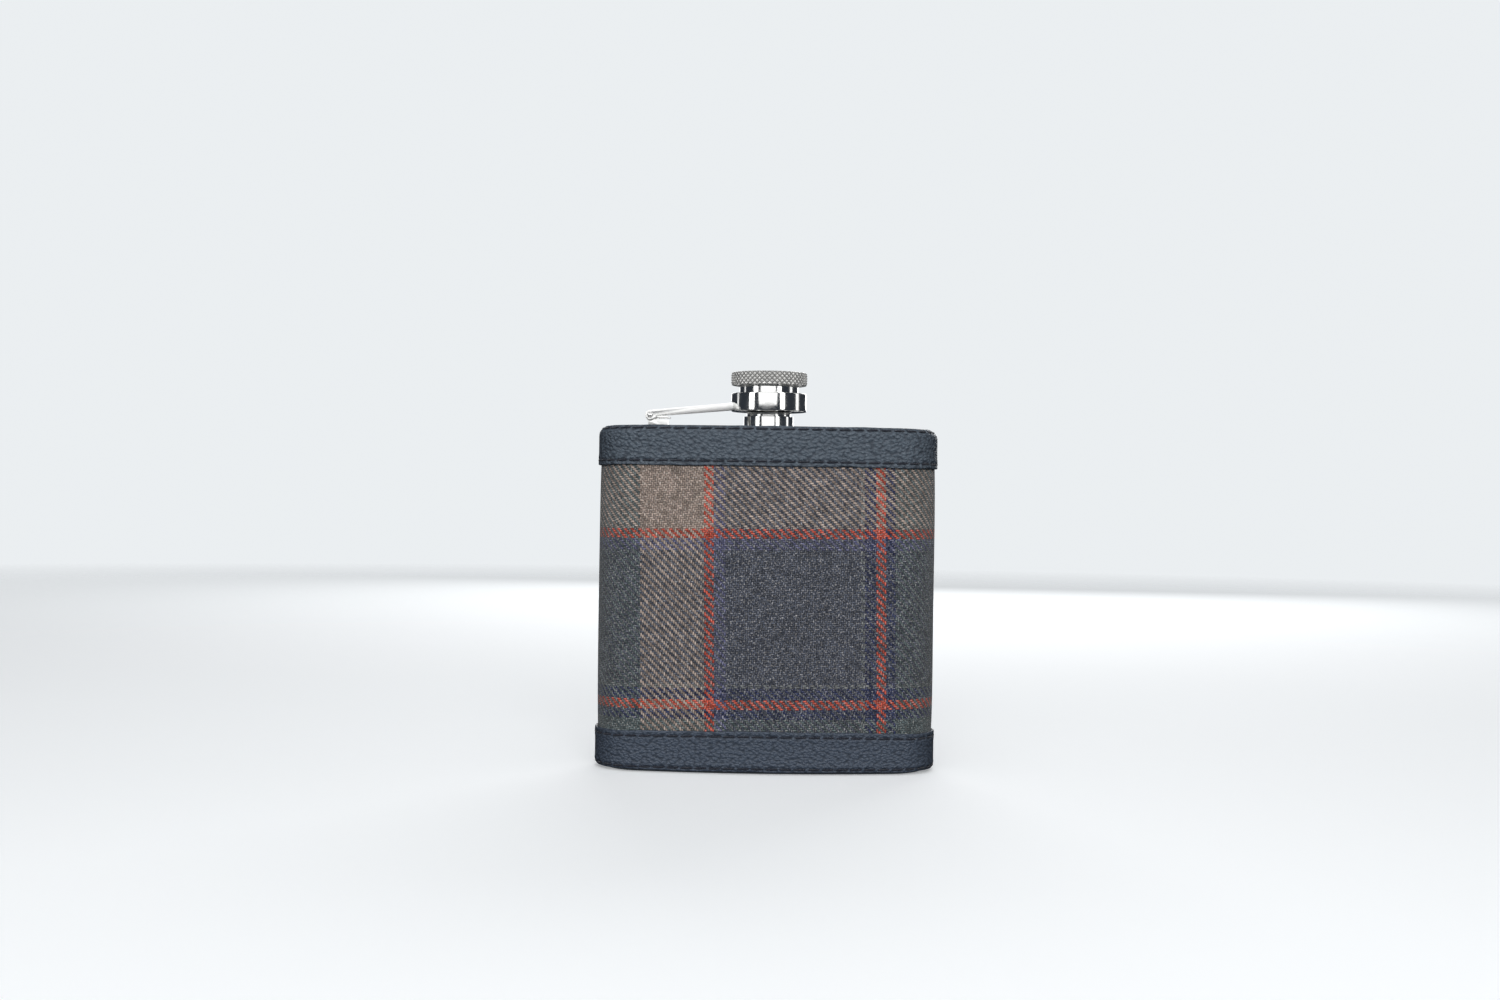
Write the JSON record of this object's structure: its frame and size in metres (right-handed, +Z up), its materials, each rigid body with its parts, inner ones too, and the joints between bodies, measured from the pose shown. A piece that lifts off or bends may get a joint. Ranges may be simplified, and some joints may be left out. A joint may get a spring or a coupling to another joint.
{
  "type": "hip flask",
  "caption": "Curved pocket flask in steel, wrapped in tartan cloth with stitched leather bands, and a knurled screw cap held on a hinged arm.",
  "frame": {"origin": "under the middle of the flask, on the surface it stands on", "axes": "+Z up along the flask's height, +X across its width away from the cap's hinge, the convex tartan front faces -Y"},
  "size_m": [0.0954, 0.0303, 0.1098],
  "materials": {
    "polished_steel": "mirror-polished stainless steel with light use marks",
    "satin_steel": "satin stainless steel",
    "cover_card": "plain backing board, glued",
    "tartan_wool": "two-and-two twill wool in charcoal, taupe, sage, navy and red",
    "navy_leather": "pebbled, semi-matt",
    "navy_thread": "waxed sewing thread",
    "white_seal": "plain white polymer"
  },
  "bodies": {
    "flask": {"flask_shell": "satin_steel", "top_plate": "satin_steel", "bottom_plate": "satin_steel", "neck": "polished_steel", "hinge_lug": "polished_steel", "hinge_pin": "polished_steel", "cover_backing": "cover_card", "tartan_wrap": "tartan_wool", "upper_leather_band": "navy_leather", "lower_leather_band": "navy_leather", "upper_band_top_stitching": "navy_thread", "upper_band_low_stitching": "navy_thread", "lower_band_top_stitching": "navy_thread", "lower_band_low_stitching": "navy_thread"},
    "cap_arm": {"cap_arm": "polished_steel", "cap_ring": "polished_steel"},
    "cap": {"cap_sleeve": "polished_steel", "cap_head": "polished_steel", "cap_liner": "white_seal"}
  },
  "joints": [
    {"name": "arm_swing", "type": "hinge", "parent": "flask", "child": "cap_arm", "pos_m": [-0.0328, -0.00155, 0.0976], "axis": [0, -1, 0], "range_deg": [0, 170]},
    {"name": "cap_turn", "type": "hinge", "parent": "cap_arm", "child": "cap", "pos_m": [0, -0.00155, 0.101], "axis": [0, 0, 1], "range_deg": [0, 720]}
  ]
}
